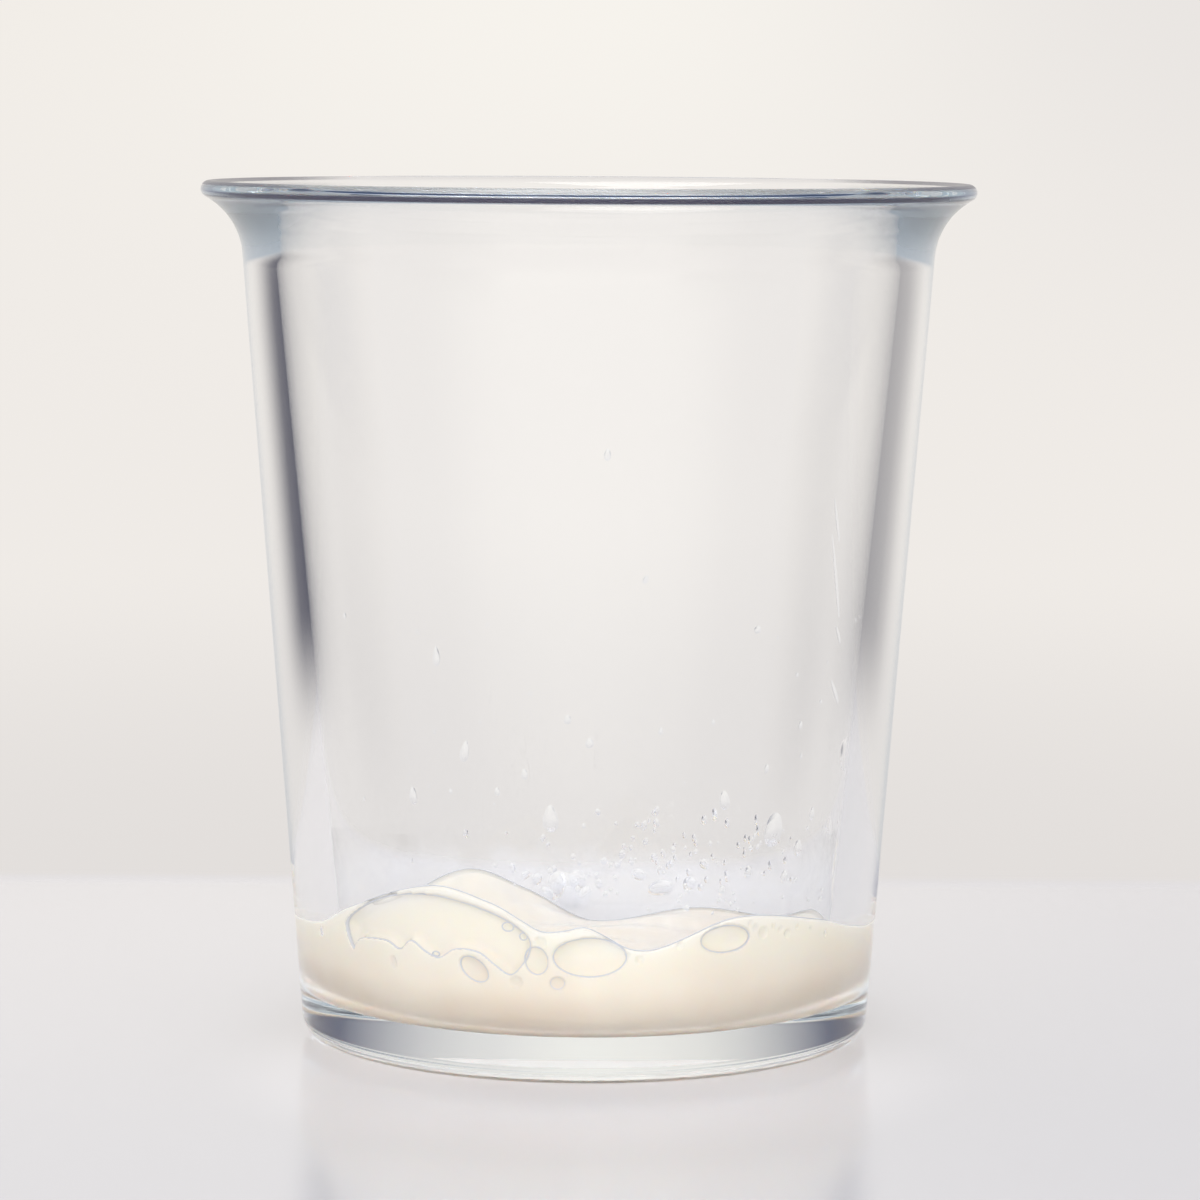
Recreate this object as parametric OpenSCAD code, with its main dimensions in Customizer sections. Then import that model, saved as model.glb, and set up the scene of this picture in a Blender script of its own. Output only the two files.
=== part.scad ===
// A heavy flared glass tumbler with a little milk swirling over its floor.
// Millimetres. +Z is up, and the origin is the middle of the ring the glass stands on.
// Azimuths run anticlockwise seen from above, from 0 at the front (-Y) through 90 at +X.

/* [Tumbler] */
// Outer diameter over the rolled lip
rim_d = 86; // [80:0.5:104]
// Height from the table to the top of the lip
glass_h = 95.5; // [78:0.5:120]
// Outer diameter of the straight wall, carried down to the table
base_d = 63.4; // [52:0.1:66]
// Lean of the outer wall from upright, in degrees
outer_draft = 4.4; // [2:0.1:5]
// How far the outer wall leans from upright where it meets the bead, in degrees
flare_lean = 62; // [50:1:70]
// Radius of the round bead on the lip
bead_r = 0.93; // [0.7:0.01:1.1]
// Radius of the heel between the wall and the table
heel_r = 2.4; // [1:0.1:3]

/* [Inside of the tumbler] */
// Thickness of the wall at the height of the floor
wall_foot = 5.1; // [3.5:0.1:7]
// Thickness the straight wall runs out to at the height of the lip
wall_top = 3.4; // [2.8:0.1:3.5]
// Thickness of the glass under the milk
floor_t = 4.4; // [3:0.1:10]
// Radius of the corner between the floor and the inner wall
corner_r = 6.5; // [2:0.1:9]
// How far the bell mouth leans from upright where it meets the bead, in degrees
mouth_lean = 70; // [64:1:78]

/* [Underside] */
// Width of the flat ring that the glass stands on
ring_w = 2.5; // [1.5:0.1:6]
// Depth of the shallow hollow inside that ring
punt_h = 0.8; // [0.3:0.1:2]
// Width of the sloping edge of that hollow
punt_edge = 1.5; // [0.5:0.1:3]

/* [Milk] */
// Depth of the milk in the middle of the floor
milk_depth = 5.1; // [3:0.1:30]
// How far the highest swell climbs the wall above that depth
swell_h = 11.1; // [0:0.1:14]
// Thinnest layer of milk anywhere on the floor
skim = 0.8; // [0.4:0.1:2]
// How steeply the swells rise towards the wall
swell_power = 3; // [1.5:0.1:5]
// Height of the ripples round the place where the milk was poured
ripple_h = 0.3; // [0:0.05:0.6]
// Distance from one ripple to the next
ripple_len = 9; // [6:0.5:14]
// Gap between the milk and the glass
milk_gap = 0.1; // [0.05:0.01:0.3]

/* [Hidden] */

arc_steps = 12;
round_steps = 128;

// The swirling milk's line round the wall: [azimuth, share of swell_h above milk_depth].
swells = [
    [0, 0.66], [12, 0.42], [33, 0.70], [57, 0.56], [68, 0.43], [80, 0.34], [100, 0.28],
    [122, 0.05], [150, 0], [178, -0.19], [195, 0.14], [211, 0.40], [235, 0.21], [262, 0.31],
    [280, 0.37], [292, 0.45], [302, 0.64], [327, 1], [341, 0.86], [352, 0.60]
];
// Place where the stream met the milk, from the middle of the glass.
pour_at = [2.5, 3];

milk_spokes = 80;
milk_rings = 14;
milk_side_steps = 8;

// ---- Small helpers

function arc(centre, radius, from, to) =
    [for (i = [0 : arc_steps]) let (a = from + (to - from) * i / arc_steps)
        centre + radius * [cos(a), sin(a)]];

// Radius of the curve that leaves a straight wall smoothly and reaches `end` at a lean of `lean`.
function flare_radius(foot_r, draft, end, lean) =
    (end[0] - foot_r - end[1] * tan(draft))
        / (cos(draft) - cos(lean) + tan(draft) * (sin(draft) - sin(lean)));

// ---- Tumbler outline

// The inner wall, carried down to the table, and its lean from upright.
inner_draft = atan(tan(outer_draft) + (wall_foot - wall_top) / (glass_h - floor_t));
bore_r = base_d / 2 + floor_t * tan(outer_draft) - wall_foot;
bore_foot_r = bore_r - floor_t * tan(inner_draft);

// The flare under the lip and the bell mouth inside it, each tangent to its wall and to the bead.
bead_c = [rim_d / 2 - bead_r, glass_h - bead_r];
flare_way = [cos(flare_lean), -sin(flare_lean)];
mouth_way = [cos(mouth_lean), -sin(mouth_lean)];
flare_start = bead_c + bead_r * flare_way;
mouth_start = bead_c - bead_r * mouth_way;
flare_r = flare_radius(base_d / 2, outer_draft, flare_start, flare_lean);
mouth_r = flare_radius(bore_foot_r, inner_draft, mouth_start, mouth_lean);

// The heel touches the table and the outer wall, the corner the floor and the inner wall.
heel_c = [base_d / 2 + heel_r * tan(outer_draft) - heel_r / cos(outer_draft), heel_r];
corner_c = [bore_r + corner_r * tan(inner_draft) - corner_r / cos(inner_draft), corner_r];
punt_r = heel_c[0] - ring_w;

outline = concat(
    [[0, punt_h], [punt_r - punt_edge, punt_h], [punt_r, 0]],
    arc(heel_c, heel_r, -90, -outer_draft),
    arc(flare_start + flare_r * flare_way, flare_r, 180 - outer_draft, 180 - flare_lean),
    arc(bead_c, bead_r, -flare_lean, 180 - mouth_lean),
    arc(mouth_start + mouth_r * mouth_way, mouth_r, 180 - mouth_lean, 180 - inner_draft),
    arc(corner_c + [0, floor_t], corner_r, -inner_draft, -90),
    [[0, floor_t]]
);

// ---- Milk surface

function wrapped(i) = (i + len(swells)) % len(swells);
function swell_az(i) = swells[wrapped(i)][0] + 360 * floor(i / len(swells));
function swell_share(i) = swells[wrapped(i)][1];
function swell_slope(i) =
    (swell_share(i + 1) - swell_share(i - 1)) / (swell_az(i + 1) - swell_az(i - 1));

// A smooth curve through the swells: share of swell_h at an azimuth from 0 to 360.
function swell_at(az) =
    let (i = max([for (k = [0 : len(swells) - 1]) if (swells[k][0] <= az) k]),
         span = swell_az(i + 1) - swell_az(i),
         t = (az - swell_az(i)) / span)
    swell_share(i) * (1 + 2 * t) * pow(1 - t, 2) + swell_share(i + 1) * t * t * (3 - 2 * t)
        + span * (swell_slope(i) * t * pow(1 - t, 2) - swell_slope(i + 1) * t * t * (1 - t));

// Height of the milk above the floor where it meets the wall.
function line_h(az) = max(skim, milk_depth + swell_h * swell_at(az));

// Radius of the milk's edge, milk_gap clear of the wall and its round corner, at a height above
// the floor.
function milk_r_at(h) =
    h < corner_r - (corner_r - milk_gap) * sin(inner_draft)
        ? corner_c[0] + sqrt(max(0, pow(corner_r - milk_gap, 2) - pow(corner_r - h, 2)))
        : bore_r + h * tan(inner_draft) - milk_gap / cos(inner_draft);

// Height of the open surface above the floor, at a share of the way out to the wall.
function surface_h(share, az) =
    let (r = share * milk_r_at(line_h(az)),
         from_pour = norm([r * sin(az), -r * cos(az)] - pour_at),
         ripple = ripple_h * cos(360 * from_pour / ripple_len) * (1 - share * share))
    max(skim, milk_depth + (line_h(az) - milk_depth) * pow(share, swell_power) + ripple);

function milk_point(r, az, h) = [r * sin(az), -r * cos(az), floor_t + h];

// A ring of points per step: up the corner and the wall first, then in over the open surface.
function milk_side_point(step, az) =
    let (h = milk_gap + (line_h(az) - milk_gap) * pow(step / milk_side_steps, 1.8))
    milk_point(milk_r_at(h), az, h);

function milk_top_point(ring, az) =
    let (share = 1 - ring / milk_rings)
    milk_point(milk_r_at(line_h(az)) * share, az, surface_h(share, az));

ring_count = milk_side_steps + milk_rings;
milk_points = concat(
    [for (k = [0 : ring_count - 1], j = [0 : milk_spokes - 1]) let (az = 360 * j / milk_spokes)
        k <= milk_side_steps ? milk_side_point(k, az) : milk_top_point(k - milk_side_steps, az)],
    [milk_point(0, 0, milk_gap), milk_point(0, 0, surface_h(0, 0))]
);

function at(k, j) = k * milk_spokes + j % milk_spokes;
milk_faces = concat(
    [for (k = [0 : ring_count - 2], j = [0 : milk_spokes - 1]) each [
        [at(k, j), at(k + 1, j), at(k + 1, j + 1)],
        [at(k, j), at(k + 1, j + 1), at(k, j + 1)]
    ]],
    [for (j = [0 : milk_spokes - 1]) each [
        [ring_count * milk_spokes, at(0, j), at(0, j + 1)],
        [ring_count * milk_spokes + 1, at(ring_count - 1, j + 1), at(ring_count - 1, j)]
    ]]
);

// ---- Pieces

module tumbler() {
    color([0.84, 0.89, 0.92, 0.4])
        rotate_extrude($fn = round_steps)
            polygon(outline);
}

module milk() {
    color([0.94, 0.91, 0.84])
        polyhedron(milk_points, milk_faces);
}

tumbler();
milk();
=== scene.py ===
import math
import random

import bpy
import numpy as np
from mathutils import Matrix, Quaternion, Vector
from mathutils.bvhtree import BVHTree


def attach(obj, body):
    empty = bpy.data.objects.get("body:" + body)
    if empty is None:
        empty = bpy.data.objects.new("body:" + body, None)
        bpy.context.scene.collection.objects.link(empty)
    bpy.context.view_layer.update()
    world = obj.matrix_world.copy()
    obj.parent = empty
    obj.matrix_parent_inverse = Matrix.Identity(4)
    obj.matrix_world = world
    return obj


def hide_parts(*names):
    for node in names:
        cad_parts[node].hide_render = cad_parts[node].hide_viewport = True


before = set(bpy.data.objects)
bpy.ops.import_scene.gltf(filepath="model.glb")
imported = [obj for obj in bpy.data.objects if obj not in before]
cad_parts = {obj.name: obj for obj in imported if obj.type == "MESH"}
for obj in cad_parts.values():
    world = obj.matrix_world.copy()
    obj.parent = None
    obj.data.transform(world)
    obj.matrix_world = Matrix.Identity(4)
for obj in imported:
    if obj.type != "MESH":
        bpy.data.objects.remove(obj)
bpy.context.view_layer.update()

# Meshes are worked out in millimetres and turned into metres when they are made. Materials, the
# camera and the lamps are in metres.
MM = 0.001
# Azimuths are degrees round the glass: 0 at the front, rising towards +X.


# ---------------------------------------------------------------- shader expressions

class Sock:
    """A shader socket that can be used in a Python expression."""

    def __init__(self, finish, out):
        self.finish, self.out = finish, out

    def math(self, operation, *values):
        return self.finish.math_of(operation, *values)

    def __add__(self, other):
        return self.math("ADD", self, other)

    def __radd__(self, other):
        return self.math("ADD", other, self)

    def __sub__(self, other):
        return self.math("SUBTRACT", self, other)

    def __rsub__(self, other):
        return self.math("SUBTRACT", other, self)

    def __mul__(self, other):
        return self.math("MULTIPLY", self, other)

    def __rmul__(self, other):
        return self.math("MULTIPLY", other, self)

    def larger(self, other):
        return self.math("MAXIMUM", self, other)

    def between(self, low, high):
        """0 up to `low`, 1 from `high`, and a soft step in between."""
        return self.finish.node(
            "ShaderNodeMapRange", {"interpolation_type": "SMOOTHSTEP"},
            {"Value": self, "From Min": low, "From Max": high})


# Places of the colour sockets on a Mix node.
COLOUR_A, COLOUR_B, COLOUR_OUT = 6, 7, 2


class Finish:
    """A material whose nodes are written as values."""

    def __init__(self, name):
        self.material = bpy.data.materials.new(name)
        self.material.use_nodes = True
        self.nodes = self.material.node_tree.nodes
        self.links = self.material.node_tree.links
        self.nodes.clear()
        self.output = self.nodes.new("ShaderNodeOutputMaterial")

    def node(self, kind, settings=None, sockets=None, output=0):
        node = self.nodes.new(kind)
        for key, value in (settings or {}).items():
            if key == "stops":
                self.set_stops(node.color_ramp, value)
            else:
                setattr(node, key, value)
        for key, value in (sockets or {}).items():
            if isinstance(value, Sock):
                self.links.new(value.out, node.inputs[key])
            else:
                node.inputs[key].default_value = value
        return Sock(self, node.outputs[output])

    def set_stops(self, ramp, stops):
        while len(ramp.elements) < len(stops):
            ramp.elements.new(0.5)
        for element, (place, colour) in zip(ramp.elements, stops):
            element.position = place
            element.color = (*colour, 1)

    def blend(self, share, first, second):
        """The colour `first`, turning into `second` as share goes from 0 to 1."""
        first, second = ((*c, 1) if isinstance(c, tuple) else c for c in (first, second))
        return self.node("ShaderNodeMix", {"data_type": "RGBA"},
                         {"Factor": share, COLOUR_A: first, COLOUR_B: second}, output=COLOUR_OUT)

    def place(self):
        """Place in the shared frame, in metres."""
        return self.node("ShaderNodeTexCoord", output="Object")

    def math_of(self, operation, *values):
        return self.node("ShaderNodeMath", {"operation": operation}, dict(enumerate(values)))

    def axis(self, index):
        return self.node("ShaderNodeSeparateXYZ", {}, {"Vector": self.place()}, output=index)

    def distance(self, x, y):
        """How far the point (x, y) is from (0, 0)."""
        return self.math_of("SQRT", x * x + y * y)

    def noise(self, size, detail):
        """Smooth noise whose blobs are about `size` metres across."""
        where = self.node("ShaderNodeVectorMath", {"operation": "MULTIPLY"},
                          {0: self.place(), 1: (1 / size,) * 3})
        return self.node("ShaderNodeTexNoise", {}, {"Vector": where, "Scale": 1.0, "Detail": detail})

    def shine(self, **sockets):
        """A Principled shader. Its sockets are named with underscores for spaces."""
        named = {key.replace("_", " "): value for key, value in sockets.items()}
        return self.node("ShaderNodeBsdfPrincipled", {}, named)

    def glow(self, colour):
        colour = (*colour, 1) if isinstance(colour, tuple) else colour
        return self.node("ShaderNodeEmission", {}, {"Color": colour, "Strength": 1.0})

    def mixed(self, share, first, second):
        """The shader `first`, turning into `second` as share goes from 0 to 1."""
        return self.node("ShaderNodeMixShader", {}, {0: share, 1: first, 2: second})

    def made(self, surface, volume=None):
        """The finished material."""
        self.links.new(surface.out, self.output.inputs["Surface"])
        if volume:
            self.links.new(volume.out, self.output.inputs["Volume"])
        return self.material


# ---------------------------------------------------------------- meshes

def piece_from(name, points, faces, *materials):
    """A smooth mesh object from points in millimetres."""
    data = bpy.data.meshes.new(name)
    data.from_pydata([tuple(c * MM for c in p) for p in points], [], faces)
    data.shade_smooth()
    for material in materials:
        data.materials.append(material)
    made = bpy.data.objects.new(name, data)
    bpy.context.scene.collection.objects.link(made)
    return made


def ring_faces(rings, count, start=0):
    """Quads between `rings` rings of `count` points each."""
    return [(start + k * count + j, start + k * count + (j + 1) % count,
             start + (k + 1) * count + (j + 1) % count, start + (k + 1) * count + j)
            for k in range(rings - 1) for j in range(count)]


def turned(outline, turns):
    """Points and faces of an outline of (radius, z) pairs turned about the axis, closed by fans."""
    points = [(r * math.sin(t), -r * math.cos(t), z)
              for r, z in outline for t in (2 * math.pi * j / turns for j in range(turns))]
    faces = ring_faces(len(outline), turns)
    last = (len(outline) - 1) * turns
    points += [(0, 0, outline[0][1]), (0, 0, outline[-1][1])]
    for j in range(turns):
        k = (j + 1) % turns
        faces.append((len(points) - 2, k, j))
        faces.append((len(points) - 1, last + j, last + k))
    return points, faces


# ---------------------------------------------------------------- stage, lights, camera

# How far behind the glass the table ends, in metres, and how soft that edge looks.
TABLE_EDGE = 0.100
TABLE_EDGE_SOFT = 0.006
# Radii where the stage starts to bend up and where it stands upright, and its height.
STAGE_FLAT = 620
STAGE_WALL = 1100
STAGE_TOP = 1500
STAGE_STEPS = 24
STAGE_TURNS = 128
# Where a painted pool of light on the table stands for light the glass gathers there, in front of the
# middle of its foot.
PAINTED_POOL_AHEAD = 0.024


def pale_table(f):
    """A satin table, with painted shade that darkens it a little to the front right, and a painted pool of
    light where the glass gathers light.
    """
    x, y = f.axis(0), f.axis(1)
    # Painted shade: a little darker to the front right.
    shade = (x * 0.5 - y).between(-0.12, 0.10)
    plain_with_painted_shade = f.blend(shade, (0.665, 0.660, 0.688), (0.572, 0.577, 0.617))
    # Painted pool of light in front of the glass's foot.
    from_painted_pool = f.distance(x, y + PAINTED_POOL_AHEAD)
    colour = f.blend(from_painted_pool.between(0.018, 0.044), (0.74, 0.74, 0.78), plain_with_painted_shade)
    return f.shine(Base_Color=colour, Roughness=0.16, Specular_IOR_Level=0.45)


def lit_paper(f, away):
    """Glowing paper behind the table, with painted shade and light: darkest low down behind the glass, and
    brightest high in the middle.
    """
    x, height = f.axis(0), f.axis(2)
    # Painted shade on the glowing paper, darkest low down near the glass.
    low = f.blend(away.between(0.08, 0.55), (0.765, 0.735, 0.715), (0.865, 0.83, 0.795))
    left = f.blend(x.between(-0.2, 0.0), (0.885, 0.85, 0.805), (0.925, 0.895, 0.845))
    high = f.blend(x.between(0.0, 0.2), left, (0.82, 0.79, 0.765))
    return f.blend(height.between(0.0, 0.14), low, high)


def pale_stage():
    """A pale table near the glass, and beyond it glowing paper with painted light and shade, and a soft
    bright room.
    """
    f = Finish("pale_stage")
    y = f.axis(1)
    away = f.distance(f.axis(0), y)
    beyond = y.between(TABLE_EDGE - TABLE_EDGE_SOFT, TABLE_EDGE + TABLE_EDGE_SOFT)
    room = f.blend(y.between(-0.9, -0.3), (1.45, 1.42, 1.38), (0.74, 0.73, 0.77))
    lit = f.blend(beyond, room, lit_paper(f, away))
    far = beyond.larger(away.between(0.3, 0.6))
    return f.made(f.mixed(far, pale_table(f), f.glow(lit)))


def make_stage():
    """A round pale table that sweeps up into a light tent with an open top."""
    bend = STAGE_WALL - STAGE_FLAT
    outline = [(STAGE_FLAT * (i + 1) / STAGE_STEPS, 0) for i in range(STAGE_STEPS)]
    outline += [(STAGE_FLAT + bend * math.sin(a), bend * (1 - math.cos(a)))
                for a in (math.pi / 2 * i / STAGE_STEPS for i in range(1, STAGE_STEPS + 1))]
    outline += [(STAGE_WALL, STAGE_TOP)]
    points, faces = turned(outline, STAGE_TURNS)
    lid = len(points) - 1
    stage = piece_from("stage", points[:lid], [f for f in faces if lid not in f], pale_stage())


def dark_side(stops, colour, heights):
    """Darkness by degrees from straight behind the glass. `heights` are where it starts, is full
    from and to, and ends."""
    f = Finish("dark_side")
    turn = f.math_of("ARCTAN2", f.axis(0), f.axis(1)) * (1 / math.pi)
    from_behind = f.math_of("ABSOLUTE", turn)
    dark = f.node("ShaderNodeValToRGB", {"stops": [(a / 180, (v, v, v)) for a, v in stops]},
                  {"Fac": from_behind})
    low, full, fade, high = (h * MM for h in heights)
    z = f.axis(2)
    band = z.between(low, full) * (1.0 - z.between(fade, high))
    clear = f.node("ShaderNodeBsdfTransparent")
    return f.made(f.mixed(dark * band, clear, f.glow(colour)))


FLAG_COLUMNS = 60


def make_flag(name, side, radius, heights, colour, stops):
    """A dark card from behind the glass round to one side, seen only through the glass."""
    turns = np.radians(side * np.linspace(stops[0][0], stops[-1][0], FLAG_COLUMNS))
    points = [(radius * math.sin(t), radius * math.cos(t), z)
              for z in (heights[0], heights[-1]) for t in turns]
    faces = [(j, j + 1, FLAG_COLUMNS + j + 1, FLAG_COLUMNS + j) for j in range(FLAG_COLUMNS - 1)]
    card = piece_from(name, points, faces, dark_side(stops, colour, heights))
    card.visible_camera = False
    card.visible_shadow = False
    card.visible_diffuse = False
    card.visible_glossy = False


# Darkness of the flags, as (degrees from straight behind the glass, share).
LEFT_DARK = [
    (8, 0), (17, 0.01), (23, 0.04), (32, 0.12), (37, 0.25), (42, 0.48), (49, 0.84), (53, 1),
    (62, 1), (82, 0)]
RIGHT_DARK = [
    (8, 0), (17, 0.01), (23, 0.04), (32, 0.12), (37, 0.26), (42, 0.43), (49, 0.58), (62, 0.62),
    (82, 0)]
FOOT_DARK = [
    (8, 0), (14, 0.08), (20, 0.22), (28, 0.45), (36, 0.70), (44, 0.95), (62, 1), (82, 0)]
INK = (0.022, 0.026, 0.065)
NAVY = (0.055, 0.08, 0.155)
# The near flags darken the walls. The far ones stand higher, where the foot turns its light up to.
NEAR_FLAG, NEAR_HEIGHTS = 150, (0.5, 22, 64, 88)
FAR_FLAG, FAR_HEIGHTS = 450, (64, 76, 150, 190)


def make_flags():
    make_flag("dark_left", -1, NEAR_FLAG, NEAR_HEIGHTS, INK, LEFT_DARK)
    make_flag("dark_right", 1, NEAR_FLAG, NEAR_HEIGHTS, INK, RIGHT_DARK)
    make_flag("high_left", -1, FAR_FLAG, FAR_HEIGHTS, NAVY, FOOT_DARK)
    make_flag("high_right", 1, FAR_FLAG, FAR_HEIGHTS, NAVY, FOOT_DARK)


def make_lamp(name, place, size, power, colour, shows=True):
    """An area lamp aimed at the foot of the glass. `shows` lets it be reflected."""
    data = bpy.data.lights.new(name, "AREA")
    data.shape = "RECTANGLE"
    data.size, data.size_y = size
    data.energy = power
    data.color = colour
    lamp = bpy.data.objects.new(name, data)
    lamp.location = place
    lamp.rotation_euler = (-Vector(place)).to_track_quat("-Z", "Y").to_euler()
    lamp.visible_glossy = shows
    lamp.visible_transmission = shows
    bpy.context.scene.collection.objects.link(lamp)


def make_lamps():
    make_lamp("overhead", (-0.15, -0.1, 0.9), (0.5, 0.5), 1.6, (1.0, 0.985, 0.97))
    make_lamp("front_fill", (-0.15, -0.9, 0.35), (0.7, 0.5), 2.6, (1.0, 0.99, 0.97), shows=False)


def make_world():
    """A soft even room light, a little warm."""
    world = bpy.data.worlds.new("soft_room")
    world.use_nodes = True
    light = world.node_tree.nodes["Background"]
    light.inputs["Color"].default_value = (1.0, 0.985, 0.97, 1)
    light.inputs["Strength"].default_value = 0.8
    bpy.context.scene.world = world


CAMERA_LENS = 138.15
CAMERA_PLACE = (0, -0.5134, 0.10377)
# Degrees that the camera looks down, turns right and rolls.
CAMERA_TURNS = (6.11, 0.166, -0.35)


def make_camera():
    """A long lens a little above the lip, looking slightly down."""
    data = bpy.data.cameras.new("camera")
    data.sensor_width = 36
    data.lens = CAMERA_LENS
    camera = bpy.data.objects.new("camera", data)
    camera.location = CAMERA_PLACE
    pitch, yaw, roll = (math.radians(a) for a in CAMERA_TURNS)
    look = Vector((math.sin(yaw), math.cos(yaw), -math.tan(pitch)))
    camera.rotation_mode = "QUATERNION"
    camera.rotation_quaternion = Quaternion(look, roll) @ look.to_track_quat("-Z", "Y")
    bpy.context.scene.collection.objects.link(camera)
    bpy.context.scene.camera = camera


# ---------------------------------------------------------------- tumbler

def outline_of(node):
    """The turned outline of a CAD node in mm, from the underside round the lip to the floor."""
    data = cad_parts[node].data
    keys = [(round(math.hypot(v.co.x, v.co.y) / MM, 2), round(v.co.z / MM, 2))
            for v in data.vertices]
    beside = {key: set() for key in keys}
    for edge in data.edges:
        a, b = (keys[i] for i in edge.vertices)
        if a != b:
            beside[a].add(b)
            beside[b].add(a)
    ends = sorted((k for k in beside if len(beside[k]) == 1), key=lambda k: k[1])
    path = [ends[0]]
    while path[-1] != ends[-1]:
        path.append(next(k for k in beside[path[-1]] if k not in path[-2:]))
    return [Vector(p) for p in path]


# Turns sharper than this are corners of the outline, and gentler ones are parts of an arc.
CORNER = math.radians(20)
ARC_PARTS = 3


def rounded(outline, parts):
    """The outline with its arcs drawn finer. Corners and straight walls stay."""
    last = len(outline) - 1

    def direction(i, chord):
        if i in (0, last):
            return chord
        before, after = outline[i] - outline[i - 1], outline[i + 1] - outline[i]
        return chord if before.angle(after) > CORNER else (before + after).normalized()

    finer = []
    for i, (a, b) in enumerate(zip(outline, outline[1:])):
        length, chord = (b - a).length, (b - a).normalized()
        start, end = direction(i, chord), direction(i + 1, chord)
        for t in (k / parts for k in range(parts)):
            finer.append(a * (1 + 2 * t) * (1 - t) ** 2 + b * t * t * (3 - 2 * t)
                         + length * (start * t * (1 - t) ** 2 - end * t * t * (1 - t)))
    return finer + [outline[-1]]


# Reflections after which light counts as trapped in the glass. It is also the renderer's limit.
TRAPPED = 8


def painted_dark_share(f):
    """How dark the lip is painted: thin lines of painted reflection on the bead's front and crest, and a
    haze of painted shade under its sides.
    """
    bead = max(p.x for p in outline) - outline[lip].x
    x, y, z = f.axis(0), f.axis(1), f.axis(2)
    middle = (outline[lip].y - bead) * MM
    out = f.distance(x, y).between(outline[lip].x * MM, (outline[lip].x + 0.3) * MM)
    lower = z.between(middle - 0.00062, middle - 0.00048)
    upper = 1 - z.between(middle - 0.00012, middle + 0.00012)
    front = 1 - y.between(-0.024, -0.010)
    # Painted reflections of dark surroundings: a line on the bead's front, and one on its crest.
    line = out * lower * upper * front * 0.92
    crest = z.between(middle + 0.00058, middle + 0.00072) * 0.8
    # Painted shade: a haze under the bead's sides.
    haze = z.between(0.0865, 0.0920) * (1 - z.between(middle - 0.0012, middle - 0.0008)) * 0.3
    sides = f.math_of("ABSOLUTE", x).between(0.026, 0.037)
    return line.larger(crest.larger(haze) * sides)


def painted_glow_colour(f):
    """Colour of the painted glow that stands for trapped light: dark blue in the foot, grey-blue above,
    pale grey in the lip.
    """
    z = f.axis(2)
    flare = f.blend(z.between(0.086, 0.0925), (0.21, 0.235, 0.265), (0.10, 0.13, 0.16))
    lip_pale = f.blend(z.between(0.0930, 0.0938), flare, (0.45, 0.44, 0.455))
    return f.blend(z.between(0.009, 0.014), (0.025, 0.045, 0.10), lip_pale)


def clear_glass():
    """Glass with a painted glow where light goes round and round inside the wall, and painted dark
    reflections and shade on its lip.
    """
    f = Finish("clear_glass")
    z = f.axis(2)
    reflections = f.node("ShaderNodeLightPath", output="Glossy Depth")
    trapped = f.math_of("GREATER_THAN", reflections, TRAPPED - 0.5)
    # Painted glow: where light is trapped in the wall, the glass glows with a colour that stands for the
    # light it would let out.
    glass = f.shine(Base_Color=(1, 1, 1, 1), Roughness=0.0, IOR=1.5, Transmission_Weight=1.0,
                    Emission_Color=f.blend(trapped, (0, 0, 0), painted_glow_colour(f)),
                    Emission_Strength=1.0)
    tint = f.node("ShaderNodeVolumeAbsorption", {}, {"Color": (0.60, 0.80, 0.86, 1), "Density": 3.0})
    # Colour of the painted dark reflection and shade: dark teal under the bead, ink on the bead.
    shade = f.blend(z.between(0.0926, 0.0934), (0.06, 0.10, 0.13), (0.03, 0.027, 0.06))
    dark = f.shine(Base_Color=shade, Roughness=0.3)
    material = f.made(f.mixed(painted_dark_share(f), glass, dark), tint)
    material.cycles.emission_sampling = "NONE"
    return material


outline = outline_of("tumbler")
lip = max(range(len(outline)), key=lambda i: outline[i].y)
walls = rounded(outline, ARC_PARTS)
inner = sorted((p.y, p.x) for p in walls[ARC_PARTS * lip:])
INNER_Z, INNER_R = np.array([p[0] for p in inner]), np.array([p[1] for p in inner])
FLOOR_Z = outline[-1].y


def bore(z):
    """Radius of the inner wall at a height."""
    return np.interp(z, INNER_Z, INNER_R)


def on_wall(azimuth, z, lift):
    """A point `lift` mm inside the inner wall."""
    a = np.radians(azimuth)
    r = bore(z) - lift
    return r * np.sin(a), -r * np.cos(a), z


TUMBLER_TURNS = 256
SHARP_EDGE = math.radians(25)


def make_tumbler():
    points, faces = turned([tuple(p) for p in walls], TUMBLER_TURNS)
    glass = piece_from("tumbler_glass", points, faces, clear_glass())
    glass.data.set_sharp_from_angle(angle=SHARP_EDGE)
    glass.visible_shadow = False
    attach(glass, "root")
    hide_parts("tumbler")


# ---------------------------------------------------------------- milk

# How far the milk's mesh reaches into the glass, so that no air gap shows.
INTO_WALL = 0.06
# Spokes and rings of the CAD milk's open surface.
SPOKES_READ = 80
RINGS_READ = 14


def read_milk():
    """Heights of the CAD milk's open surface by ring and spoke. Ring 0 is its line on the wall."""
    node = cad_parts["milk"]
    tree = BVHTree.FromObject(node, bpy.context.evaluated_depsgraph_get())
    corners = np.array([v.co for v in node.data.vertices]) / MM
    radius = np.hypot(corners[:, 0], corners[:, 1])
    spoke = np.round(np.degrees(np.arctan2(corners[:, 0], -corners[:, 1])) * SPOKES_READ / 360)
    grid = np.zeros((RINGS_READ + 1, SPOKES_READ))
    for j in range(SPOKES_READ):
        mine = np.flatnonzero((spoke.astype(int) % SPOKES_READ == j) & (radius > 5))
        edge = mine[np.argmax(radius[mine])]
        grid[0, j] = corners[edge, 2]
        a = 2 * math.pi * j / SPOKES_READ
        for k in range(1, RINGS_READ + 1):
            r = radius[edge] * (1 - k / RINGS_READ) * MM
            above = Vector((r * math.sin(a), -r * math.cos(a), 50 * MM))
            grid[k, j] = tree.ray_cast(above, Vector((0, 0, -1)))[0].z / MM
    return grid


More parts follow.
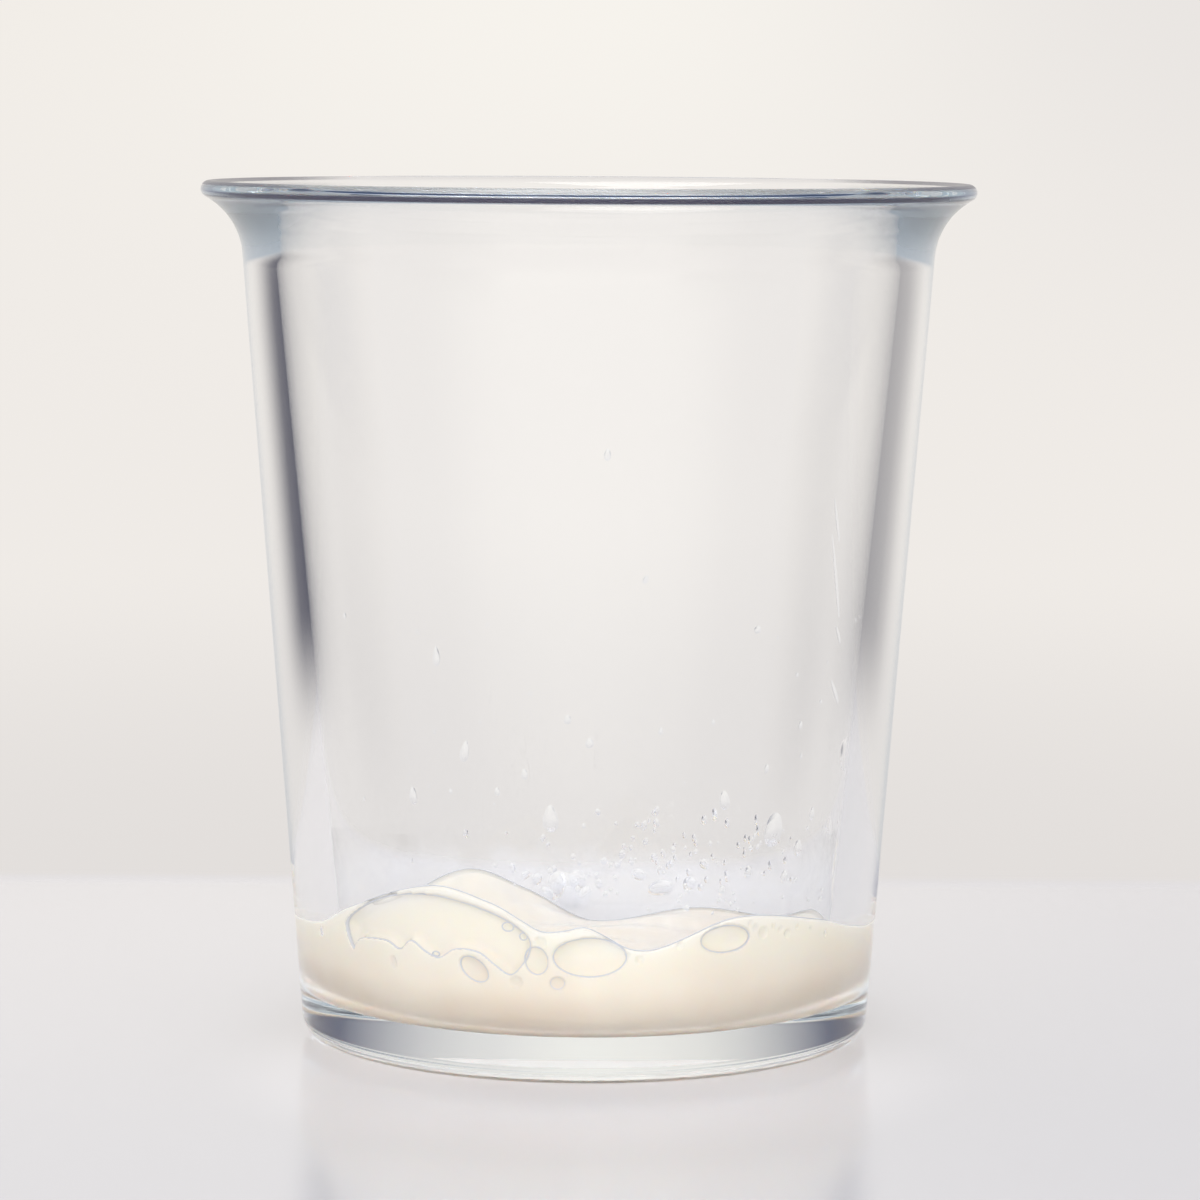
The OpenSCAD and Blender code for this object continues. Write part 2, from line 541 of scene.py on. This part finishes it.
def smooth_at(values, place, wraps):
    """Catmull-Rom values at fractional places along the first axis of an array."""
    i = np.floor(place).astype(int)
    t = (place - i)[(...,) + (None,) * (values.ndim - 1)]
    last = len(values) - 1
    at = [values[(i + k) % len(values)] if wraps else values[np.clip(i + k, 0, last)]
          for k in (-1, 0, 1, 2)]
    return at[1] + 0.5 * t * (at[2] - at[0] + t * (2 * at[0] - 5 * at[1] + 4 * at[2] - at[3]
                                                   + t * (3 * (at[1] - at[2]) + at[3] - at[0])))


milk_grid = read_milk()


def milk_line(azimuth):
    """Height of the milk where it meets the wall."""
    return smooth_at(milk_grid[0], np.asarray(azimuth, float) % 360 * SPOKES_READ / 360, True)


# Bubbles against the wall: azimuth and height of the middle, width, height, slant in degrees, depth.
WALL_BUBBLES = [
    (1.1, 13.75, 7.6, 4.4, 0, 2.6), (30.7, 15.2, 5.8, 3.1, 0, 2.0), (-23.8, 12.0, 3.6, 2.4, -38, 1.5),
    (-10.1, 13.3, 2.5, 3.2, 8, 1.5), (-5.7, 10.9, 1.6, 1.5, 0, 0.8), (-14.5, 10.9, 1.3, 1.3, 0, 0.6),
    (-16.1, 16.9, 1.3, 1.1, 0, 0.6), (-12.8, 15.9, 0.9, 0.9, 0, 0.4), (-9.2, 15.3, 1.3, 1.3, 0, 0.6),
    (20.0, 14.8, 0.8, 0.8, 0, 0.4), (11.5, 13.5, 0.8, 0.8, 0, 0.4), (8.9, 14.1, 0.5, 0.5, 0, 0.3),
    (36.4, 16.6, 0.7, 0.7, 0, 0.3), (37.8, 16.2, 0.7, 0.8, 0, 0.3), (39.9, 15.5, 1.2, 1.3, 0, 0.5),
    (42.6, 16.1, 0.6, 0.6, 0, 0.3), (44.6, 15.6, 0.7, 0.7, 0, 0.3), (46.8, 15.0, 1.0, 1.0, 0, 0.5),
    (49.7, 15.6, 0.6, 0.6, 0, 0.3), (53.9, 15.2, 0.5, 0.5, 0, 0.2), (59.6, 14.2, 0.6, 0.9, 0, 0.3),
    (-32.8, 13.3, 0.9, 0.6, 0, 0.3), (-44.0, 11.8, 0.9, 1.4, 10, 0.4), (-69.7, 13.3, 0.8, 1.2, 0, 0.4),
]
# The large hollow under the swell at the front left, as a closed curve of (azimuth, height).
BIG_HOLLOW = [
    (-57, 12.4), (-59, 15), (-54, 17), (-46, 18.8), (-37, 19.7), (-28, 19.5), (-18, 18.0), (-12, 16),
    (-11.6, 14.2), (-13.5, 12.5), (-16, 11.6), (-19.5, 12.7), (-23, 13.9), (-28, 14.0), (-32, 12.9),
    (-35.5, 13.4), (-39, 14.4), (-42.2, 13.3), (-46, 14.0), (-52, 13.9), (-55, 13.4)
]
# How deep the large hollow is, and how far in from its edge it reaches that depth.
BIG_HOLLOW_DEPTH = 0.9
BIG_HOLLOW_EDGE = 0.9
# Share of its own depth that each bubble dents the milk by.
BUBBLE_DENT = 0.35
CURVE_POINTS = 160


def closed_curve(corners, count):
    """A smooth closed curve through a few corners."""
    corners = np.array(corners, float)
    return smooth_at(corners, np.arange(count) * len(corners) / count, True)


def bubble_outline(azimuth, z, width, height, slant, count=48):
    """The (azimuth, height) outline of an oval bubble on the wall."""
    t = np.linspace(0, 2 * np.pi, count, endpoint=False)
    # Millimetres along and up the wall from the bubble's middle.
    u, v = width / 2 * np.cos(t), height / 2 * np.sin(t)
    lean = math.radians(slant)
    u, v = u * math.cos(lean) - v * math.sin(lean), u * math.sin(lean) + v * math.cos(lean)
    return np.stack([azimuth + np.degrees(u / bore(z)), z + v], 1)


# Points measured at a time, to keep the arrays small.
BATCH = 4000


def inside_by(curve, azimuth, z):
    """How far in mm each point lies inside a closed curve on the wall, or 0 outside it."""
    scale = np.array([math.radians(1) * bore(curve[:, 1].mean()), 1.0])
    curve, points = curve * scale, np.stack([azimuth, z], -1).reshape(-1, 2) * scale
    depth = np.zeros(len(points))
    near = np.flatnonzero(np.all((points > curve.min(0)) & (points < curve.max(0)), axis=1))
    a, b = curve, np.roll(curve, -1, 0)
    for start in range(0, len(near), BATCH):
        some = near[start:start + BATCH]
        p = points[some][:, None]
        along = np.clip(((p - a) * (b - a)).sum(-1) / ((b - a) ** 2).sum(-1), 0, 1)
        distance = np.hypot(*np.moveaxis(p - a - along[..., None] * (b - a), -1, 0)).min(1)
        crosses = (a[:, 1] > p[..., 1]) != (b[:, 1] > p[..., 1])
        slope = (b[:, 0] - a[:, 0]) / np.where(b[:, 1] == a[:, 1], 1e-9, b[:, 1] - a[:, 1])
        right = p[..., 0] < a[:, 0] + (p[..., 1] - a[:, 1]) * slope
        depth[some] = distance * ((crosses & right).sum(1) % 2)
    return depth.reshape(np.shape(azimuth))


def bowl(far_in, edge):
    """A round bowl's share of its depth, a distance in from its rim."""
    return np.sqrt(1 - (1 - np.clip(far_in / edge, 0, 1)) ** 2)


def hollow_depths(azimuth, z):
    """How far the milk stands back from the wall, where bubbles press against it."""
    far_in = inside_by(closed_curve(BIG_HOLLOW, CURVE_POINTS), azimuth, z)
    depth = BIG_HOLLOW_DEPTH * bowl(far_in, BIG_HOLLOW_EDGE)
    for middle, height, w, h, slant, deep in WALL_BUBBLES:
        far_in = inside_by(bubble_outline(middle, height, w, h, slant), azimuth, z)
        depth = np.maximum(depth, BUBBLE_DENT * deep * bowl(far_in, min(w, h) / 2))
    return depth


def milk_azimuths():
    """Azimuths of the milk's columns: fine at the front, where the bubbles are, and wider behind."""
    return np.concatenate([np.arange(-72, 66, 0.3), np.arange(66, 288, 2.0)])


# The milk's cream, and the buff that paints shade on it low down, each between two tones.
SHADED_BUFF = ((0.81, 0.70, 0.58), (0.87, 0.79, 0.675))
CREAM = ((0.90, 0.865, 0.775), (0.91, 0.88, 0.795))


def creamy(name, share, ior, gloss):
    """Milk: cream above and more buff below, which is painted shade, in soft patches. `share` darkens it
    all a little, as painted shade.
    """
    f = Finish(name)
    # Painted shade: buff low down, cream above.
    height = f.axis(2).between(0.005, 0.015)
    patches = f.noise(0.011, 2.0).between(0.35, 0.68)
    low, high = (f.blend(patches, *(tuple(share * c for c in tone) for tone in tones))
                 for tones in (SHADED_BUFF, CREAM))
    return f.made(f.shine(
        Base_Color=f.blend(height, low, high), Roughness=gloss, IOR=ior,
        Subsurface_Weight=0.6, Subsurface_Scale=0.004, Subsurface_Radius=(1.0, 0.75, 0.5)))


SIDE_ROWS = 112
TOP_RINGS = 24
# Height of the milk's lowest row above the floor.
FLOOR_CLEAR = 0.002
# The milk climbs the wall a little more in a small round lip: how far, and over what width.
LIP_CLIMB = 0.15
LIP_WIDTH = 0.5


def against_wall(z, off):
    """Radius and height of the bore at a height, moved `off` mm into the glass."""
    step = 0.02
    lean = (bore(z + step) - bore(z)) / step
    length = np.hypot(1, lean)
    return bore(z) + off / length, z - off * lean / length


def milk_side(azimuth, line):
    """Rows of radii and heights from the floor up to the line, and how far each point stands off
    the wall. The rows are closer together near the floor, where the corner is round."""
    share = np.linspace(0, 1, SIDE_ROWS)[:, None]
    climb = 0.6 * share ** 2 + 0.4 * share ** 1.3
    z = FLOOR_Z + FLOOR_CLEAR + (line - FLOOR_Z - FLOOR_CLEAR) * climb
    off = hollow_depths(np.broadcast_to(azimuth, z.shape), z)
    r, z = against_wall(z, INTO_WALL)
    return r - off, z, off


def milk_top(azimuth, line):
    """Rings of radii and heights in from the line to the middle, from the CAD milk's heights."""
    share = (1 - np.arange(1, TOP_RINGS) / TOP_RINGS)[:, None] ** 0.8
    by_ring = smooth_at(milk_grid, (1 - share[:, 0]) * RINGS_READ, False)
    spoke = azimuth % 360 * SPOKES_READ / 360
    z = np.stack([smooth_at(row, spoke, True) for row in by_ring])
    r = bore(line) * share
    return r, z + LIP_CLIMB * np.exp(-(bore(line) - r) / LIP_WIDTH)


def milk_mesh(azimuth):
    """Points and faces of the milk, closed by fans, and how far its side stands off the wall."""
    line = milk_line(azimuth)
    side_r, side_z, off = milk_side(azimuth, line)
    top_r, top_z = milk_top(azimuth, line)
    side_z[-1] += LIP_CLIMB
    radii = np.concatenate([side_r[:1] * 0.5, side_r, top_r])
    levels = np.concatenate([side_z[:1], side_z, top_z])
    angle = np.radians(azimuth)
    points = np.stack([radii * np.sin(angle), -radii * np.cos(angle), levels], -1).reshape(-1, 3)
    count = len(azimuth)
    faces = ring_faces(len(radii), count)
    low, high = len(points), len(points) + 1
    last = (len(radii) - 1) * count
    points = np.concatenate([points, [[0, 0, side_z[0, 0]], [0, 0, milk_grid[-1].mean()]]])
    for j in range(count):
        k = (j + 1) % count
        faces.append((low, k, j))
        faces.append((high, last + j, last + k))
    return points.tolist(), faces, off


# The milk's three finishes: its open surface, what touches the glass, and what stands off it.
# Milk on glass has an IOR of 0.9, milk's 1.35 over glass's 1.5, because no air is between them.
OPEN, ON_GLASS, HOLLOW = 0, 1, 2
# Milk that stands off the wall by more than this counts as a hollow.
HOLLOW_FROM = 0.02


def milk_finishes(off, face_count):
    """Which finish each of the milk's faces has, in the order that milk_mesh makes them."""
    count = off.shape[1]
    touches = off < HOLLOW_FROM
    pair = touches & np.roll(touches, -1, 1)
    finish = np.full(face_count, OPEN, dtype=np.int32)
    finish[:count] = ON_GLASS
    finish[count:count * SIDE_ROWS] = np.where(pair[:-1] & pair[1:], ON_GLASS, HOLLOW).reshape(-1)
    # The two fans take turns, and the lower one lies on the floor.
    finish[-2 * count::2] = ON_GLASS
    return finish


def make_milk():
    points, faces, off = milk_mesh(milk_azimuths())
    # The three copies carry different painted shade: the open top is darkened most, against the lamp light
    # that falls on it.
    milk = piece_from("milk_body", points, faces,
                      creamy("milk_open", 0.82, 1.35, 0.14),
                      creamy("milk_on_glass", 0.95, 0.9, 0.0),
                      creamy("milk_hollow", 0.92, 1.35, 0.14))
    milk.data.polygons.foreach_set("material_index", milk_finishes(off, len(faces)))
    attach(milk, "root")
    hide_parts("milk")


# ---------------------------------------------------------------- bubbles, drops and film on the wall

def drop_milk():
    """Drops so thin in milk that light passes through them."""
    f = Finish("drop_milk")
    return f.made(f.shine(Base_Color=(0.97, 0.98, 1.0, 1), Roughness=0.0, IOR=1.34,
                          Transmission_Weight=1.0))


def pale_rim():
    """Thin milk at the edge of a bubble, in a pale blue-grey that is partly painted shade, standing for
    the dark line that refraction draws there.
    """
    f = Finish("bubble_rim")
    return f.made(f.shine(Base_Color=(0.66, 0.68, 0.74, 1), Roughness=0.12, IOR=1.35))


class Builder:
    """Collects points and faces of many small shapes into one piece."""

    def __init__(self):
        self.points, self.faces = [], []

    def add(self, points, faces):
        start = len(self.points)
        self.points += [tuple(float(c) for c in p) for p in points]
        self.faces += [tuple(start + i for i in face) for face in faces]

    def piece(self, name, material):
        made = piece_from(name, self.points, self.faces, material)
        made.visible_shadow = False
        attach(made, "root")


# Radii of the rims: the least, how much each mm of a bubble's width adds, and the large hollow's.
RIM = 0.07
RIM_GROWTH = 0.008
HOLLOW_RIM = 0.10
# How far rims stand clear of the glass.
RIM_CLEAR = 0.03


def closed_tube(curve, radius, sides=6):
    """A thin tube along a closed curve of (azimuth, height) on the wall, just clear of the glass."""
    ring = np.stack(on_wall(curve[:, 0], curve[:, 1], radius + RIM_CLEAR), -1)
    along = np.roll(ring, -1, 0) - np.roll(ring, 1, 0)
    along /= np.linalg.norm(along, axis=1)[:, None]
    out = ring * (1, 1, 0)
    out /= np.linalg.norm(out, axis=1)[:, None]
    up = np.cross(out, along)
    points = [ring + radius * (math.cos(t) * out + math.sin(t) * up)
              for t in (2 * math.pi * i / sides for i in range(sides))]
    count = len(ring)
    faces = [(i * count + j, i * count + (j + 1) % count,
              (i + 1) % sides * count + (j + 1) % count, (i + 1) % sides * count + j)
             for i in range(sides) for j in range(count)]
    return np.concatenate(points), faces


def make_bubble_rims():
    """Rims round the hollows and bubbles, and a thin pale line where the milk ends on the wall."""
    build = Builder()
    build.add(*closed_tube(closed_curve(BIG_HOLLOW, CURVE_POINTS), HOLLOW_RIM))
    for middle, height, w, h, slant, _ in WALL_BUBBLES:
        count = 48 if w > 2 else 20
        rim = bubble_outline(middle, height, w - 0.1, h - 0.1, slant, count)
        build.add(*closed_tube(rim, RIM + RIM_GROWTH * min(w, 4)))
    around = np.arange(0, 360, 1.5)
    build.add(*closed_tube(np.stack([around, milk_line(around) + 0.2], 1), RIM))
    build.piece("bubble_rims", pale_rim())


# Drops on the inner wall: azimuth and height of the middle, width, height, slant in degrees, and
# how far the top is drawn in to a tail, from 0 to 1.
DROPS = [
    (40.8, 26.8, 2.7, 3.8, 6, 0.25), (62.4, 33.8, 1.8, 4.1, -8, 0.6), (-6.9, 28.9, 2.1, 3.0, 0, 0.5),
    (28.5, 30.5, 1.5, 2.2, -10, 0.4), (-36.3, 30.5, 1.2, 2.0, 0, 0.4), (-29.4, 45.9, 1.2, 2.2, 0, 0.6),
    (-24.1, 35.8, 1.3, 2.4, 12, 0.5), (0.7, 37.1, 1.0, 1.1, 0, 0.2), (10.8, 54.6, 0.7, 1.0, 20, 0.3),
    (3.5, 67.8, 0.9, 1.3, 0, 0.3), (33.7, 48.8, 0.9, 0.9, 0, 0.1), (54.9, 47.5, 0.5, 2.3, -26, 0.3),
    (55.4, 41.2, 0.6, 3.2, -30, 0.3), (-3.5, 39.6, 0.9, 1.0, 0, 0.2), (14.5, 38.3, 0.6, 0.8, 0, 0.2),
    (52.6, 54.0, 0.6, 9.8, -14, 0.5), (51.6, 60.0, 0.5, 5.0, -16, 0.3), (65.6, 19.3, 1.1, 5.0, -6, 0.5),
    (74.5, 22.0, 1.3, 10.0, -10, 0.5), (48.0, 24.4, 1.3, 1.9, 0, 0.3), (44.6, 21.4, 1.0, 1.5, 0, 0.3),
    (35.0, 22.4, 1.0, 1.4, 0, 0.2), (29.0, 20.6, 0.8, 1.1, 0, 0.2), (51.5, 28.0, 0.9, 1.5, 0, 0.4),
    (58.0, 26.0, 0.8, 2.6, -8, 0.5), (-12.0, 33.6, 0.8, 1.2, 0, 0.3), (-17.6, 31.6, 0.7, 1.0, 0, 0.3),
    (38.0, 33.6, 0.7, 1.0, 0, 0.3), (46.0, 38.0, 0.6, 0.9, 0, 0.3),
]


# A drop's thickness as a share of its smaller size, and how far its edge stands off the glass.
DROP_THICK = 0.22
DROP_CLEAR = 0.02


def drop(azimuth, z, width, height, slant, tail, spokes=20, rings=5):
    """A lens of liquid on the inner wall, drawn out upwards by its tail."""
    points = []
    lean = math.radians(slant)
    thick = DROP_THICK * min(width, height)
    for k in range(rings + 1):
        share = 1 - k / rings
        lift = DROP_CLEAR + thick * (1 - share ** 2) ** 0.6
        for i in range(spokes):
            t = 2 * math.pi * i / spokes
            u, v = share * math.sin(t) * width / 2, share * math.cos(t) * height / 2
            u *= 1 - tail * (0.5 + v / height)
            u, v = u * math.cos(lean) + v * math.sin(lean), v * math.cos(lean) - u * math.sin(lean)
            points.append(on_wall(azimuth + math.degrees(u / bore(z)), z + v, lift))
    faces = ring_faces(rings + 1, spokes)
    faces.append(tuple(range(spokes)))
    return points, [face[::-1] for face in faces]


# The splash thrown up on the back wall, as lenses that run together.
SPLASH = [
    (184.5, 10.9, 3.4, 4.6, 12, 0.1), (187.5, 11.6, 2.6, 3.6, -20, 0.2), (182.0, 12.2, 2.2, 2.4, 30, 0.1),
    (189.5, 10.2, 2.0, 3.0, 35, 0.2), (180.5, 10.0, 2.0, 3.2, -25, 0.2), (192.5, 12.4, 1.6, 1.2, 60, 0.2),
    (195.5, 12.9, 1.6, 0.9, 40, 0.3), (176.5, 11.8, 1.0, 1.2, 0, 0.2), (160.0, 11.6, 4.0, 1.8, 10, 0.2),
    (166.0, 13.0, 2.2, 1.4, -15, 0.2), (152.0, 12.4, 2.4, 1.6, 20, 0.3), (148.0, 14.8, 1.6, 1.1, -10, 0.3),
]


FRONT_SPECKS = 90
BACK_SPECKS = 70
SPECK_SEED = 4


def tiny_drops(rng):
    """Scattered specks of milk: many low on the right, fewer high up, and more low at the back."""
    drops = []
    for _ in range(FRONT_SPECKS):
        high = rng.random() < 0.35
        azimuth = rng.uniform(-60, 66) if high else rng.gauss(32, 20)
        z = rng.uniform(26, 50) if high else rng.uniform(18, 27)
        size = rng.uniform(0.18, 0.5) * (1 if high else 1.3)
        drops.append((azimuth, z, size, size * rng.uniform(1, 1.5), rng.uniform(-20, 20),
                      rng.uniform(0, 0.4)))
    for _ in range(BACK_SPECKS):
        size = rng.uniform(0.4, 1.0)
        drops.append((rng.gauss(160, 22), rng.uniform(12, 21), size, size * rng.uniform(1, 1.6),
                      rng.uniform(-20, 20), 0.2))
    return drops


def make_wall_drops():
    build = Builder()
    for spec in DROPS + SPLASH:
        build.add(*drop(*spec))
    for spec in tiny_drops(random.Random(SPECK_SEED)):
        build.add(*drop(*spec, spokes=10, rings=3))
    build.piece("wall_drops", drop_milk())


# Where the film ends, in metres: its height halfway round, and how much it rises towards the front.
FILM_TOP = 0.0213
FILM_RISE = 0.15
# How much its top edge wanders, and the height over which it thins away.
FILM_RAGGED = 0.007
FILM_FADE = 0.0035


def film_top(y):
    """Height the film fades out at: the milk has washed higher up the front than the back."""
    return FILM_TOP - y * FILM_RISE


def film_milk():
    """A haze of milk left on the wall, which thins away to nothing at a ragged edge."""
    f = Finish("film_milk")
    ragged = (f.noise(0.007, 3.0) - 0.5) * FILM_RAGGED
    under = film_top(f.axis(1)) - f.axis(2) + ragged
    patches = f.noise(0.004, 2.0).between(0.3, 0.7) * 0.07 + 0.05
    return f.made(f.shine(Base_Color=(0.70, 0.73, 0.81, 1), Roughness=0.35, IOR=1.34,
                          Alpha=under.between(0, FILM_FADE) * patches))


FILM_TURNS = 240
# How far the two sides of the film stand off the glass.
FILM_SIDES = (0.02, 0.07)
# The wall's radius where the film ends, in metres. The mesh goes on FILM_SPARE mm above that end.
FILM_RADIUS = 0.028
FILM_SPARE = 1.6


def make_wet_film():
    """The film as a thin closed shell round the wall, from just under the milk's line up."""
    azimuth = np.arange(FILM_TURNS) * 360 / FILM_TURNS
    low = milk_line(azimuth) - 0.3
    high = film_top(-np.cos(np.radians(azimuth)) * FILM_RADIUS) / MM + FILM_SPARE
    near, far = FILM_SIDES
    rings = [on_wall(azimuth, z, lift)
             for z, lift in ((low, near), (high, near), (high, far), (low, far))]
    points = np.stack(rings).transpose(0, 2, 1).reshape(-1, 3)
    faces = ring_faces(4, FILM_TURNS)
    last = 3 * FILM_TURNS
    faces += [(last + j, last + (j + 1) % FILM_TURNS, (j + 1) % FILM_TURNS, j)
              for j in range(FILM_TURNS)]
    build = Builder()
    build.add(points, faces)
    build.piece("wet_film", film_milk())


bpy.context.scene.view_settings.view_transform = "Standard"
make_world()
make_stage()
make_flags()
make_camera()
make_lamps()
make_tumbler()
make_milk()
make_bubble_rims()
make_wall_drops()
make_wet_film()

# Light crosses and turns back in the glass many times before it gets out.
light_path = bpy.context.scene.cycles
light_path.glossy_bounces = TRAPPED
light_path.max_bounces = 18
light_path.transmission_bounces = 14
light_path.diffuse_bounces = 3
